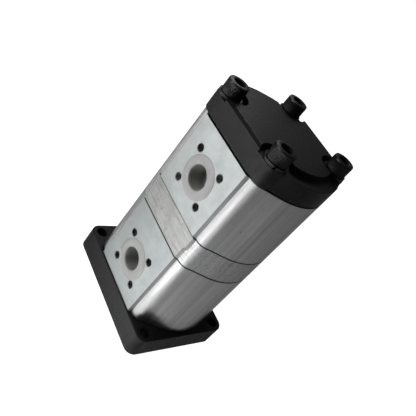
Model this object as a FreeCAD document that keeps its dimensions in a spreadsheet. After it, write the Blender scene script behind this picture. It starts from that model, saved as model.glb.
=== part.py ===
import FreeCAD, Part
import math
import os
import re

import Sketcher
from FreeCAD import Placement, Rotation, Vector

# Two-stage external gear pump: mounting flange, front pump, middle plate, rear pump, end cover.
# Z is the drive shaft axis, with zero at the flange's mounting face and the end cover on top.
# X points to the large suction ports, Y from the drive gears to the driven gears.

# Driving sizes: millimetres, degrees or counts.
drivingSizes = {
    # lengths along the drive axis
    "flangeThickness": 20.0,
    "frontGearWidth": 32.0,
    "rearGearWidth": 25.0,
    "blockLength": 18.0,
    "middleLength": 23.0,
    "coverSeatHeight": 15.0,
    "crownHeight": 4.0,
    "shaftReach": 24.0,
    # walls and lugs of the outline that the bodies, the middle plate and the cover share
    "sideWall": 23.75,
    "endWall": 16.6,
    "endRadius": 45.0,
    "lugRadius": 8.5,
    "lugBlend": 4.0,
    "padStandOut": 2.05,
    "padSetBack": 2.7,
    "landStepOut": 1.35,
    "flankAngle": 45.0,
    "screwInset": 21.9,
    "edgeBreak": 0.3,
    # cast cover
    "coverInset": 0.45,
    "coverLugExtra": 0.8,
    "crownEndInset": 10.5,
    "screwPocketRoom": 5.0,
    "crownBevelWidth": 3.0,
    "crownBevelDepth": 1.9,
    "castEdge": 0.8,
    # cast flange
    "flangeMarginX": 1.25,
    "flangeMarginY": 3.4,
    "flangeCorner": 8.0,
    "flangeHoleInsetX": 8.6,
    "flangeHoleInsetY": 7.7,
    "flangeHole": 9.0,
    "pilotWall": 3.235,
    "pilotLength": 4.6,
    # ports
    "suctionBore": 20.0,
    "pressureBore": 15.0,
    "portRise": 10.4,
    "portHoleInset": 10.0,
    "portThread": 6.0,
    "portThreadDepth": 13.0,
    "portMouthBreak": 0.35,
    "plugWall": 1.0,
    "plugRimWidth": 6.0,
    "plugDepth": 14.0,
    # gears
    "gearModule": 2.75,
    "gearTeeth": 12,
    "pressureAngle": 25.0,
    "rootClearance": 0.25,
    "backlash": 0.12,
    "toothRootFillet": 0.7,
    # shafts and bushes
    "journalDiameter": 17.94,
    "bushWall": 1.0,
    "journalFit": 0.03,
    "tipFit": 0.05,
    "sideFit": 0.05,
    "reliefInset": 2.4,
    "reliefLength": 4.2,
    "reliefWidth": 6.0,
    "reliefDepth": 1.2,
    "journalSetBack": 0.5,
    "splineRelief": 0.72,
    "splineDepth": 1.35,
    "splineLength": 17.0,
    "splineTeeth": 9,
    "shaftChamfer": 0.8,
    # coupling between the stages
    "sleeveWall": 4.0,
    "sleeveGap": 3.0,
    "sleeveRoom": 1.0,
    "tangWidth": 8.0,
    "tangDepth": 5.5,
    "tangFit": 0.05,
    # seals
    "shaftSealSection": 6.0,
    "shaftSealLength": 7.0,
    "shaftSealSeat": 6.4,
    "shaftSealSkin": 1.6,
    "shaftSealLip": 0.8,
    "circlipThickness": 1.2,
    "circlipDepth": 0.7,
    "circlipWidth": 2.6,
    "circlipGap": 9.0,
    "faceSealInset": 2.1,
    "faceSealWidth": 2.4,
    "faceSealDepth": 2.0,
    "blockSealInset": 3.45,
    "blockSealWidth": 2.4,
    "blockSealDepth": 2.2,
    "blockSealLeg": 9.0,
    "sealRoom": 0.1,
    # fasteners
    "screwDiameter": 10.0,
    "screwHeadDiameter": 16.0,
    "screwHeadHeight": 10.0,
    "screwHexAcross": 8.0,
    "screwHexDepth": 5.0,
    "screwEngagement": 10.5,
    "screwHoleRunout": 3.0,
    "screwHoleRoom": 0.5,
    "screwThreadFit": 0.02,
    "screwHeadEdge": 1.0,
    "washerWidth": 3.85,
    "washerRoom": 0.2,
    "washerThickness": 2.2,
    "washerSplit": 1.6,
    "dowelDiameter": 6.0,
    "dowelDepth": 6.0,
    "dowelInset": 9.05,
    "dowelOffset": 8.0,
    "dowelFit": 0.01,
}

# Sizes that follow from the driving ones, each written once.
derivedSizes = {
    # gears and shafts
    "centreDistance": "gearModule * gearTeeth",
    "pitchRadius": "centreDistance / 2",
    "tipRadius": "pitchRadius + gearModule",
    "rootRadius": "pitchRadius - gearModule * (1 + rootClearance)",
    "chamberRadius": "tipRadius + tipFit",
    "journalRadius": "journalDiameter / 2",
    "bushBore": "journalRadius + journalFit",
    "bushOuter": "bushBore + bushWall",
    "splineRadius": "journalRadius - splineRelief",
    "splineRoot": "splineRadius - splineDepth",
    "sleeveRadius": "journalRadius + sleeveWall",
    "sleeveLength": "middleLength - 2 * sleeveGap",
    "tangLength": "sleeveGap + tangDepth",
    "tangSlotDepth": "tangDepth + journalSetBack",
    # levels along the drive axis
    "frontLength": "frontGearWidth + 2 * blockLength",
    "rearLength": "rearGearWidth + 2 * blockLength",
    "middleBase": "flangeThickness + frontLength",
    "rearBase": "middleBase + middleLength",
    "coverBase": "rearBase + rearLength",
    "washerSeat": "coverBase + coverSeatHeight",
    "headSeat": "washerSeat + washerThickness",
    "crownTop": "coverSeatHeight + crownHeight",
    "shaftEnd": "0 - flangeThickness - blockLength - shaftReach",
    # outline
    "halfWidth": "chamberRadius + sideWall",
    "halfHeight": "pitchRadius + chamberRadius + endWall",
    "endCentre": "halfHeight - endRadius",
    "screwX": "halfWidth - padStandOut - lugRadius",
    "screwY": "halfHeight - screwInset",
    "padHalf": "screwY - padSetBack",
    "coverHalfWidth": "halfWidth - coverInset",
    "coverLugRadius": "lugRadius + coverLugExtra",
    "crownEndRadius": "endRadius - crownEndInset",
    "flangeHalfX": "halfWidth + flangeMarginX",
    "flangeHalfY": "halfHeight + flangeMarginY",
    "flangeHoleX": "flangeHalfX - flangeHoleInsetX",
    "flangeHoleY": "flangeHalfY - flangeHoleInsetY",
    # ports
    "portHeight": "blockLength + portRise",
    # seals
    "shaftSealRadius": "bushBore + shaftSealSection",
    "shaftSealBase": "shaftSealSeat - shaftSealLength",
    "pilotRadius": "shaftSealRadius + pilotWall",
    "circlipOuter": "shaftSealRadius + circlipDepth",
    "circlipBase": "shaftSealBase - circlipThickness",
    "faceSealInner": "chamberRadius + faceSealInset",
    "faceSealOuter": "faceSealInner + faceSealWidth",
    "blockSealOuter": "tipRadius - blockSealInset",
    "blockSealInner": "blockSealOuter - blockSealWidth",
    "blockSealLegHalf": "pitchRadius - blockSealOuter + blockSealWidth / 2",
    # fasteners
    "screwRadius": "screwDiameter / 2",
    "screwHole": "screwRadius + screwHoleRoom",
    "screwLength": "headSeat - flangeThickness + screwEngagement",
    "screwHeadRadius": "screwHeadDiameter / 2",
    "screwPocketRadius": "screwHeadRadius + screwPocketRoom",
    "washerBore": "screwRadius + washerRoom",
    "washerOuter": "washerBore + washerWidth",
    "dowelX": "halfWidth - dowelInset",
}

signs = (-1, 1)
pointNames = ("edge", "start", "end", "centre")
wholeTurn = 360
flankPoints = 6
flatness = 1e-4

doc = FreeCAD.newDocument("gear_pump")
sheet = doc.addObject("Spreadsheet::Sheet", "sizes")
layout = doc.addObject("App::VarSet", "layout")
scratch = doc.addObject("App::VarSet", "scratch")


def linked(formula):
    """The formula with each size name turned into its reference in the document."""
    def reference(match):
        word = match.group()
        if word in drivingSizes:
            return "sizes." + word
        if word in derivedSizes:
            return "layout." + word
        return word
    return re.sub(r"[A-Za-z]\w*", reference, str(formula))


def fillSheet():
    for row, (name, number) in enumerate(drivingSizes.items(), start=1):
        sheet.set(f"A{row}", name)
        sheet.set(f"B{row}", str(number))
        sheet.setAlias(f"B{row}", name)
    doc.recompute()
    for name, formula in derivedSizes.items():
        layout.addProperty("App::PropertyFloat", name, "Derived")
        layout.setExpression(name, linked(formula))
    scratch.addProperty("App::PropertyFloat", "probe", "Scratch")
    doc.recompute()


def amount(formula):
    """The number that a formula of size names gives now."""
    scratch.setExpression("probe", linked(formula))
    scratch.recompute()
    return scratch.probe


def bind(item, path, formula):
    item.setExpression(path, linked(formula))


# Sketch helpers: every point and radius is held by a constraint that reads the sheet.

def newSketch(body, name, plane="XY_Plane", offset=None):
    sketch = body.newObject("Sketcher::SketchObject", name)
    support = next(item for item in body.Origin.OriginFeatures if item.Role == plane)
    sketch.AttachmentSupport = [(support, "")]
    sketch.MapMode = "FlatFace"
    if offset is not None:
        bind(sketch, "AttachmentOffset.Base.z", offset)
    return sketch


def hold(sketch, kind, formula, *places):
    number = sketch.addConstraint(Sketcher.Constraint(kind, *places, amount(formula)))
    bind(sketch, f"Constraints[{number}]", formula)


def pin(sketch, element, place, x, y):
    """Hold a point of an element at the place that two formulas give."""
    for kind, formula, axis in (("DistanceX", x, -2), ("DistanceY", y, -1)):
        if formula == "0":
            sketch.addConstraint(Sketcher.Constraint("PointOnObject", element, pointNames.index(place), axis))
        else:
            hold(sketch, kind, formula, -1, 1, element, pointNames.index(place))


def addLine(sketch, start, end):
    return sketch.addGeometry(Part.LineSegment(Vector(*start, 0), Vector(*end, 0)))


def addArc(sketch, centre, radius, startAngle, endAngle):
    circle = Part.Circle(Vector(*centre, 0), Vector(0, 0, 1), radius)
    return sketch.addGeometry(Part.ArcOfCircle(circle, startAngle, endAngle))


def join(sketch, kind, first, firstPlace, second, secondPlace):
    places = (first, pointNames.index(firstPlace), second, pointNames.index(secondPlace))
    sketch.addConstraint(Sketcher.Constraint(kind, *places))


def addCircle(sketch, x, y, radius):
    centre = Vector(amount(x), amount(y), 0)
    element = sketch.addGeometry(Part.Circle(centre, Vector(0, 0, 1), amount(radius)))
    pin(sketch, element, "centre", x, y)
    hold(sketch, "Radius", radius, element)


def addPolygon(sketch, corners):
    """A closed outline of straight lines through corners given as pairs of formulas."""
    places = [(amount(x), amount(y)) for x, y in corners]
    lines = [addLine(sketch, places[i - 1], places[i]) for i in range(len(places))]
    for i, (x, y) in enumerate(corners):
        join(sketch, "Coincident", lines[i], "end", lines[(i + 1) % len(lines)], "start")
        pin(sketch, lines[i], "end", x, y)


def addFigureEight(sketch, radius, firstY, secondY):
    """Two joined round bores, one about the drive axis and one about the driven axis."""
    size, low, high = amount(radius), amount(firstY), amount(secondY)
    half = math.asin((high - low) / 2 / size)
    lower = addArc(sketch, (0, low), size, math.pi - half, 2 * math.pi + half)
    upper = addArc(sketch, (0, high), size, -half, math.pi + half)
    for element, y in ((lower, firstY), (upper, secondY)):
        pin(sketch, element, "centre", "0", y)
        hold(sketch, "Radius", radius, element)
    join(sketch, "Coincident", lower, "end", upper, "start")
    join(sketch, "Coincident", lower, "start", upper, "end")


def addRaceTrack(sketch, radius, firstY, secondY):
    """A closed track of two half circles joined by straight sides."""
    size, low, high = amount(radius), amount(firstY), amount(secondY)
    lower = addArc(sketch, (0, low), size, math.pi, 2 * math.pi)
    upper = addArc(sketch, (0, high), size, 0, math.pi)
    right = addLine(sketch, (size, low), (size, high))
    left = addLine(sketch, (-size, high), (-size, low))
    pin(sketch, lower, "centre", "0", firstY)
    pin(sketch, upper, "centre", "0", secondY)
    hold(sketch, "Radius", radius, lower)
    join(sketch, "Tangent", lower, "end", right, "start")
    join(sketch, "Tangent", right, "end", upper, "start")
    join(sketch, "Tangent", upper, "end", left, "start")
    join(sketch, "Tangent", left, "end", lower, "start")


def addLuggedQuarter(sketch, halfWidth, lugRadius):
    """A quarter of the housing outline: port pad, flank, screw lug, blend and round end."""
    side, pad = amount(halfWidth), amount("padHalf")
    lug, blend, end = amount(lugRadius), amount("lugBlend"), amount("endRadius")
    screw = Vector(amount("screwX"), amount("screwY"), 0)
    centre = Vector(0, amount("endCentre"), 0)

    slope = math.pi - math.radians(amount("flankAngle"))
    flank = Part.Line(Vector(side, pad, 0), Vector(side + math.cos(slope), pad + math.sin(slope), 0))
    lugCircle = Part.Circle(screw, Vector(0, 0, 1), lug)
    meets = [Vector(p.X, p.Y, 0) for p in flank.intersect(lugCircle)]
    flankEnd = max(meets, key=lambda point: point.x)
    nearLug = Part.Circle(screw, Vector(0, 0, 1), lug + blend)
    nearEnd = Part.Circle(centre, Vector(0, 0, 1), end + blend)
    hollow = max((Vector(p.X, p.Y, 0) for p in nearLug.intersect(nearEnd)), key=lambda p: p.y)

    def angle(start, finish):
        return math.atan2(finish.y - start.y, finish.x - start.x)

    base = addLine(sketch, (0, 0), (side, 0))
    face = addLine(sketch, (side, 0), (side, pad))
    slant = addLine(sketch, (side, pad), (flankEnd.x, flankEnd.y))
    lugArc = addArc(sketch, (screw.x, screw.y), lug, angle(screw, flankEnd), angle(screw, hollow))
    blendArc = addArc(sketch, (hollow.x, hollow.y), blend, angle(hollow, centre), angle(hollow, screw))
    endArc = addArc(sketch, (0, centre.y), end, angle(centre, hollow), math.pi / 2)
    spine = addLine(sketch, (0, centre.y + end), (0, 0))

    pin(sketch, base, "start", "0", "0")
    pin(sketch, face, "start", halfWidth, "0")
    pin(sketch, face, "end", halfWidth, "padHalf")
    pin(sketch, lugArc, "centre", "screwX", "screwY")
    hold(sketch, "Radius", lugRadius, lugArc)
    hold(sketch, "Radius", "lugBlend", blendArc)
    hold(sketch, "Radius", "endRadius", endArc)
    pin(sketch, endArc, "centre", "0", "endCentre")
    sketch.addConstraint(Sketcher.Constraint("PointOnObject", endArc, pointNames.index("end"), -2))
    sketch.addConstraint(Sketcher.Constraint("Angle", slant, slope))
    join(sketch, "Coincident", base, "end", face, "start")
    join(sketch, "Coincident", face, "end", slant, "start")
    join(sketch, "Coincident", slant, "end", lugArc, "start")
    join(sketch, "Tangent", lugArc, "end", blendArc, "end")
    join(sketch, "Tangent", blendArc, "start", endArc, "start")
    join(sketch, "Coincident", endArc, "end", spine, "start")
    join(sketch, "Coincident", spine, "end", base, "start")


def addCrownQuarter(sketch):
    """A quarter of the cover's raised crown, hollowed round the screw head."""
    side, end, well = amount("coverHalfWidth"), amount("crownEndRadius"), amount("screwPocketRadius")
    screw = Vector(amount("screwX"), amount("screwY"), 0)
    centre = Vector(0, amount("endCentre"), 0)
    wellCircle = Part.Circle(screw, Vector(0, 0, 1), well)
    wall = Part.Line(Vector(side, 0, 0), Vector(side, 1, 0))
    low = min((Vector(p.X, p.Y, 0) for p in wall.intersect(wellCircle)), key=lambda p: p.y)
    endCircle = Part.Circle(centre, Vector(0, 0, 1), end)
    high = min((Vector(p.X, p.Y, 0) for p in endCircle.intersect(wellCircle)), key=lambda p: p.x)

    base = addLine(sketch, (0, 0), (side, 0))
    face = addLine(sketch, (side, 0), (side, low.y))
    startAngle = math.atan2(high.y - screw.y, high.x - screw.x)
    endAngle = math.atan2(low.y - screw.y, low.x - screw.x) + 2 * math.pi
    wellArc = addArc(sketch, (screw.x, screw.y), well, startAngle, endAngle)
    endArc = addArc(sketch, (0, centre.y), end, math.atan2(high.y - centre.y, high.x), math.pi / 2)
    spine = addLine(sketch, (0, centre.y + end), (0, 0))

    pin(sketch, base, "start", "0", "0")
    pin(sketch, face, "start", "coverHalfWidth", "0")
    sketch.addConstraint(Sketcher.Constraint("Vertical", face))
    pin(sketch, wellArc, "centre", "screwX", "screwY")
    hold(sketch, "Radius", "screwPocketRadius", wellArc)
    pin(sketch, endArc, "centre", "0", "endCentre")
    hold(sketch, "Radius", "crownEndRadius", endArc)
    join(sketch, "Coincident", base, "end", face, "start")
    join(sketch, "Coincident", face, "end", wellArc, "end")
    join(sketch, "Coincident", wellArc, "start", endArc, "start")
    join(sketch, "Coincident", endArc, "end", spine, "start")
    join(sketch, "Coincident", spine, "end", base, "start")
    sketch.addConstraint(Sketcher.Constraint("PointOnObject", endArc, pointNames.index("end"), -2))


# Feature helpers.

def newBody(name):
    return doc.addObject("PartDesign::Body", name)


def place(item, label, x="0", y="0", z="0"):
    item.Label = label
    for axis, formula in (("x", x), ("y", y), ("z", z)):
        if formula != "0":
            bind(item, f"Placement.Base.{axis}", formula)
    return item


def pad(body, sketch, length, downward=False, both=False):
    feature = body.newObject("PartDesign::Pad", "Pad_" + sketch.Name)
    feature.Profile = sketch
    feature.Reversed = downward
    feature.Midplane = both
    bind(feature, "Length", length)
    doc.recompute()
    return feature


def cut(body, kind, sketch, **settings):
    """A pocket, groove or hole, with proof that it takes material away."""
    before = body.Shape.Volume
    feature = body.newObject("PartDesign::" + kind, kind + "_" + sketch.Name)
    feature.Profile = sketch
    for path, setting in settings.items():
        if path == "Length":
            bind(feature, path, setting)
        else:
            setattr(feature, path, setting)
    doc.recompute()
    if body.Shape.Volume >= before:
        raise RuntimeError(f"{feature.Name} cuts nothing")
    return feature


def revolve(body, sketch):
    feature = body.newObject("PartDesign::Revolution", "Revolution_" + sketch.Name)
    feature.Profile = sketch
    feature.ReferenceAxis = (sketch, ["V_Axis"])
    feature.Angle = wholeTurn
    doc.recompute()
    return feature


def mirror(body, plane):
    feature = body.newObject("PartDesign::Mirrored", "Mirrored_" + plane)
    support = next(item for item in body.Origin.OriginFeatures if item.Role == plane)
    feature.TransformMode = "Whole shape"
    feature.MirrorPlane = (support, [""])
    body.Tip = feature
    doc.recompute()
    return feature


def polar(body, original, axisSketch, count):
    feature = body.newObject("PartDesign::PolarPattern", "Polar_" + original.Name)
    feature.Originals = [original]
    feature.Axis = (axisSketch, ["N_Axis"])
    feature.Angle = wholeTurn
    bind(feature, "Occurrences", count)
    body.Tip = feature
    doc.recompute()
    return feature


def breakEdges(body, size, heights, kind="Chamfer"):
    """Chamfer or round every edge that lies flat at one of the heights."""
    levels = [amount(height) for height in heights]
    base = body.Tip
    names = []
    for number, edge in enumerate(body.Shape.Edges, start=1):
        box = edge.BoundBox
        for level in levels:
            if abs(box.ZMin - level) < flatness and abs(box.ZMax - level) < flatness:
                names.append(f"Edge{number}")
    feature = body.newObject("PartDesign::" + kind, kind)
    feature.Base = (base, names)
    bind(feature, "Size" if kind == "Chamfer" else "Radius", size)
    body.Tip = feature
    doc.recompute()
    return feature


def turnedBody(name, corners):
    """A turned piece from its half section, given as radius and height formulas."""
    body = newBody(name)
    sketch = newSketch(body, name + "_section", "XZ_Plane")
    addPolygon(sketch, corners)
    revolve(body, sketch)
    return body


def screwPlaces():
    return [(f"{sx} * screwX", f"{sy} * screwY") for sx in signs for sy in signs]


def drillScrewHoles(body, radius, **settings):
    sketch = newSketch(body, body.Name + "_screwHoles", offset=settings.pop("offset", None))
    for x, y in screwPlaces():
        addCircle(sketch, x, y, radius)
    cut(body, "Pocket", sketch, **settings)


def drillDowelHoles(body, height, upward):
    sketch = newSketch(body, body.Name + ("_dowelsUp" if upward else "_dowelsDown"), offset=height)
    for sign in signs:
        addCircle(sketch, f"{sign} * dowelX", f"{-sign} * dowelOffset", "dowelDiameter / 2")
    cut(body, "Pocket", sketch, Length="dowelDepth", Reversed=upward)


def cutFaceSealGroove(body, height, upward):
    sketch = newSketch(body, body.Name + ("_sealUp" if upward else "_sealDown"), offset=height)
    for radius in ("faceSealInner", "faceSealOuter"):
        addRaceTrack(sketch, radius, "-pitchRadius", "pitchRadius")
    cut(body, "Pocket", sketch, Length="faceSealDepth", Reversed=upward)


def luggedBlank(name, halfWidth, lugRadius, length, landBase=None):
    """The common outline at a given length, about the middle between the two gear axes.
    Above landBase its port pad is wider."""
    body = newBody(name)
    sketch = newSketch(body, name + "_quarter")
    addLuggedQuarter(sketch, halfWidth, lugRadius)
    pad(body, sketch, length)
    if landBase:
        land = newSketch(body, name + "_land", offset=landBase)
        innerX = f"{halfWidth} - 2 * padStandOut"
        outerY = "padHalf + landStepOut + 2 * padStandOut * tan(flankAngle)"
        addPolygon(land, [("0", "0"), (halfWidth, "0"), (halfWidth, "padHalf + landStepOut"),
                          (innerX, outerY), ("0", outerY)])
        pad(body, land, f"{length} - {landBase}")
    mirror(body, "YZ_Plane")
    mirror(body, "XZ_Plane")
    return body


# Housing pieces.

def mountingFlange():
    body = newBody("flange")
    sketch = newSketch(body, "flange_plate")
    corner = amount("flangeCorner")
    halves = (amount("flangeHalfX"), amount("flangeHalfY"))
    sides = []
    arcs = []
    for turn in range(4):
        angle = turn * math.pi / 2
        spin = Rotation(Vector(0, 0, 1), math.degrees(angle))
        wide, high = halves if turn % 2 == 0 else halves[::-1]
        start = spin.multVec(Vector(wide, corner - high, 0))
        end = spin.multVec(Vector(wide, high - corner, 0))
        middle = spin.multVec(Vector(wide - corner, high - corner, 0))
        sides.append(addLine(sketch, (start.x, start.y), (end.x, end.y)))
        arcs.append(addArc(sketch, (middle.x, middle.y), corner, angle, angle + math.pi / 2))
    for turn in range(4):
        join(sketch, "Tangent", sides[turn], "end", arcs[turn], "start")
        join(sketch, "Tangent", arcs[turn], "end", sides[(turn + 1) % 4], "start")
        hold(sketch, "Radius", "flangeCorner", arcs[turn])
    for turn, (x, y) in enumerate((("1", "1"), ("-1", "1"), ("-1", "-1"), ("1", "-1"))):
        pin(sketch, arcs[turn], "centre", f"{x} * (flangeHalfX - flangeCorner)",
            f"{y} * (flangeHalfY - flangeCorner)")
    pad(body, sketch, "flangeThickness")
    breakEdges(body, "castEdge", ["0", "flangeThickness"], "Fillet")

    pilot = newSketch(body, "pilot")
    addCircle(pilot, "0", "-pitchRadius", "pilotRadius")
    pad(body, pilot, "pilotLength", downward=True)

    bore = newSketch(body, "shaft_bore", offset="-pilotLength")
    addCircle(bore, "0", "-pitchRadius", "bushBore + sealRoom + journalFit")
    cut(body, "Pocket", bore, Type="ThroughAll", Reversed=True)
    seat = newSketch(body, "seal_seat", offset="-pilotLength")
    addCircle(seat, "0", "-pitchRadius", "shaftSealRadius")
    cut(body, "Pocket", seat, Length="pilotLength + shaftSealSeat", Reversed=True)
    groove = newSketch(body, "circlip_groove", offset="circlipBase")
    addCircle(groove, "0", "-pitchRadius", "circlipOuter")
    cut(body, "Pocket", groove, Length="circlipThickness", Reversed=True)

    holes = newSketch(body, "mounting_holes")
    for sx in signs:
        for sy in signs:
            addCircle(holes, f"{sx} * flangeHoleX", f"{sy} * flangeHoleY", "flangeHole / 2")
    cut(body, "Pocket", holes, Type="ThroughAll", Reversed=True)
    drillScrewHoles(body, "screwRadius", offset="flangeThickness",
                    Length="screwEngagement + screwHoleRunout")
    drillDowelHoles(body, "flangeThickness", upward=False)
    return place(body, "front_flange", y="pitchRadius")


def breakPortMouths(body, side):
    """Chamfer the mouths of the tapped holes in one port face."""
    base = body.Tip
    face, thread = side * amount("halfWidth"), amount("portThread / 2")
    names = []
    for number, edge in enumerate(body.Shape.Edges, start=1):
        box = edge.BoundBox
        onFace = abs(box.XMin - face) < flatness and abs(box.XMax - face) < flatness
        if onFace and isinstance(edge.Curve, Part.Circle) and abs(edge.Curve.Radius - thread) < flatness:
            names.append(f"Edge{number}")
    feature = body.newObject("PartDesign::Chamfer", "Mouths")
    feature.Base = (base, names)
    bind(feature, "Size", "portMouthBreak")
    body.Tip = feature
    doc.recompute()


def tapPort(body, side, bore):
    """A port through one side wall, with its four tapped holes."""
    outward = side > 0
    sketch = newSketch(body, body.Name + f"_port{bore}", "YZ_Plane")
    addCircle(sketch, "0", "portHeight", f"{bore} / 2")
    cut(body, "Pocket", sketch, Type="ThroughAll", Reversed=outward)
    taps = newSketch(body, body.Name + f"_taps{bore}", "YZ_Plane", offset=f"{side} * halfWidth")
    reach = f"({bore} / 2 + portHoleInset) / sqrt(2)"
    for sy in signs:
        for sz in signs:
            addCircle(taps, f"{sy} * {reach}", f"portHeight + {sz} * {reach}", "portThread / 2")
    cut(body, "Pocket", taps, Length="portThreadDepth", Reversed=not outward)
    breakPortMouths(body, side)


def pumpBody(label, length, base):
    body = luggedBlank(label, "halfWidth", "lugRadius", length)
    breakEdges(body, "edgeBreak", ["0", length])
    bore = newSketch(body, label + "_chamber")
    addFigureEight(bore, "chamberRadius", "-pitchRadius", "pitchRadius")
    cut(body, "Pocket", bore, Type="ThroughAll", Reversed=True)
    drillScrewHoles(body, "screwHole", Type="ThroughAll", Reversed=True)
    for height, upward in (("0", True), (length, False)):
        cutFaceSealGroove(body, height, upward)
        drillDowelHoles(body, height, upward)
    tapPort(body, 1, "suctionBore")
    tapPort(body, -1, "pressureBore")
    return place(body, label, y="pitchRadius", z=base)


def middlePlate():
    body = luggedBlank("middle_plate", "halfWidth", "lugRadius", "middleLength", "middleLength / 2")
    breakEdges(body, "edgeBreak", ["0", "middleLength"])
    bore = newSketch(body, "sleeve_bore")
    addCircle(bore, "0", "-pitchRadius", "sleeveRadius + sleeveRoom")
    cut(body, "Pocket", bore, Type="ThroughAll", Reversed=True)
    drillScrewHoles(body, "screwHole", Type="ThroughAll", Reversed=True)
    drillDowelHoles(body, "0", upward=True)
    drillDowelHoles(body, "middleLength", upward=False)
    return place(body, "middle_plate", y="pitchRadius", z="middleBase")


def endCover():
    body = luggedBlank("cover_seat", "coverHalfWidth", "coverLugRadius", "coverSeatHeight")
    breakEdges(body, "castEdge", ["0"])
    blank = newBody("crown_blank")
    sketch = newSketch(blank, "crown_quarter")
    addCrownQuarter(sketch)
    pad(blank, sketch, "crownTop")
    mirror(blank, "YZ_Plane")
    mirror(blank, "XZ_Plane")
    bevel = newSketch(blank, "crown_bevel", "XZ_Plane")
    for sign in signs:
        addPolygon(bevel, [
            (f"{sign} * (coverHalfWidth - crownBevelWidth)", "crownTop"),
            (f"{sign} * (coverHalfWidth + crownBevelWidth)", "crownTop"),
            (f"{sign} * (coverHalfWidth + crownBevelWidth)", "crownTop - crownBevelDepth"),
            (f"{sign} * coverHalfWidth", "crownTop - crownBevelDepth"),
        ])
    cut(blank, "Pocket", bevel, Length="2 * halfHeight", Midplane=True)
    drillScrewHoles(body, "screwHole", Type="ThroughAll", Reversed=True)
    drillDowelHoles(body, "0", upward=True)
    raised = doc.addObject("Part::Box", "crown_height")
    bind(raised, "Length", "2 * halfWidth")
    bind(raised, "Width", "2 * halfHeight")
    bind(raised, "Height", "coverSeatHeight")
    bind(raised, "Placement.Base.x", "-halfWidth")
    bind(raised, "Placement.Base.y", "-halfHeight")
    crown = doc.addObject("Part::Cut", "crown")
    crown.Base = blank
    crown.Tool = raised
    whole = doc.addObject("Part::Fuse", "cover")
    whole.Base = body
    whole.Tool = crown
    whole.Refine = True
    return place(whole, "end_cover", y="pitchRadius", z="coverBase")


# Gears and shafts.

def toothedRing(name, width, turned):
    """Involute teeth: the drive gear has a tooth towards +Y, the driven gear a gap towards -Y."""
    teeth = round(amount("gearTeeth"))
    pitch, tip, root = amount("pitchRadius"), amount("tipRadius"), amount("rootRadius")
    fillet = amount("toothRootFillet")
    pressure = math.radians(amount("pressureAngle"))
    base = pitch * math.cos(pressure)
    involute = math.tan(pressure) - pressure
    thickness = math.pi * amount("gearModule") / 2 - amount("backlash") / 2
    halfAtBase = thickness / 2 / pitch + involute

    def polarPoint(radius, angle):
        return Vector(radius * math.cos(angle), radius * math.sin(angle), 0)

    def flankAngle(radius):
        roll = math.acos(base / radius)
        return halfAtBase - (math.tan(roll) - roll)

    step = 2 * math.pi / teeth
    firstTooth = -math.pi / 2 + step / 2 if turned else math.pi / 2
    filletCentreRadius = root + fillet
    filletAngle = halfAtBase + math.asin(fillet / filletCentreRadius)
    flankFoot = math.sqrt(filletCentreRadius ** 2 - fillet ** 2)
    edges = []
    for tooth in range(teeth):
        middle = firstTooth + tooth * step
        radii = [base + (tip - base) * i / (flankPoints - 1) for i in range(flankPoints)]
        for side in signs:
            flank = Part.BSplineCurve()
            points = [polarPoint(radius, middle + side * flankAngle(radius)) for radius in radii]
            flank.interpolate(points if side > 0 else points[::-1])
            edges.append(flank.toShape())
            foot = polarPoint(flankFoot, middle + side * halfAtBase)
            edges.append(Part.LineSegment(polarPoint(base, middle + side * halfAtBase), foot).toShape())
            centre = polarPoint(filletCentreRadius, middle + side * filletAngle)
            floor = polarPoint(root, middle + side * filletAngle)
            inner = centre + ((foot - centre) + (floor - centre)).normalize() * fillet
            edges.append(Part.Arc(foot, inner, floor).toShape())
        crest = flankAngle(tip)
        edges.append(Part.Arc(polarPoint(tip, middle - crest), polarPoint(tip, middle),
                              polarPoint(tip, middle + crest)).toShape())
        gap = middle + step / 2
        reach = step / 2 - filletAngle
        edges.append(Part.Arc(polarPoint(root, gap - reach), polarPoint(root, gap),
                              polarPoint(root, gap + reach)).toShape())
    outline = Part.Wire(Part.__sortEdges__(edges))
    ring = doc.addObject("Part::Feature", name)
    ring.Shape = Part.Face(outline).extrude(Vector(0, 0, amount(f"{width} - 2 * sideFit")))
    ring.Placement = Placement(Vector(0, 0, amount("sideFit")), Rotation())
    return ring


def journalSection(lower, upper):
    """Half section of a plain shaft with chamfered ends, from the gear's lower face."""
    return [
        ("0", lower),
        ("journalRadius - shaftChamfer", lower),
        ("journalRadius", f"{lower} + shaftChamfer"),
        ("journalRadius", f"{upper} - shaftChamfer"),
        ("journalRadius - shaftChamfer", upper),
        ("0", upper),
    ]


def millTang(body, name, shoulder, length, downward):
    """Mill the two flats of a drive tang on a shaft's end."""
    sketch = newSketch(body, name, offset=shoulder)
    for sign in signs:
        addPolygon(sketch, [
            (f"{sign} * tangWidth / 2", "-journalDiameter"),
            (f"{sign} * journalDiameter", "-journalDiameter"),
            (f"{sign} * journalDiameter", "journalDiameter"),
            (f"{sign} * tangWidth / 2", "journalDiameter"),
        ])
    cut(body, "Pocket", sketch, Length=length, Reversed=not downward)


def millSpline(body):
    """Mill the spaces between the spline's teeth on the driven end of the shaft."""
    spaceHalf = math.pi / amount("splineTeeth") / 2
    sketch = newSketch(body, "spline_space", offset="shaftEnd")
    narrow = f"splineRoot * {math.tan(spaceHalf):.9f}"
    wide = f"2 * splineRadius * {math.tan(spaceHalf):.9f}"
    addPolygon(sketch, [
        ("splineRoot", f"-{narrow}"),
        ("2 * splineRadius", f"-{wide}"),
        ("2 * splineRadius", wide),
        ("splineRoot", narrow),
    ])
    space = cut(body, "Pocket", sketch, Length="splineLength", Reversed=True)
    polar(body, space, sketch, "splineTeeth")


def gearOn(body, label, width, turned, x="0", y="0", z="0"):
    whole = doc.addObject("Part::MultiFuse", label)
    whole.Shapes = [toothedRing(label + "_teeth", width, turned), body]
    whole.Refine = True
    body.Label = label + "_shaft"
    return place(whole, label, x, y, z)


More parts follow.
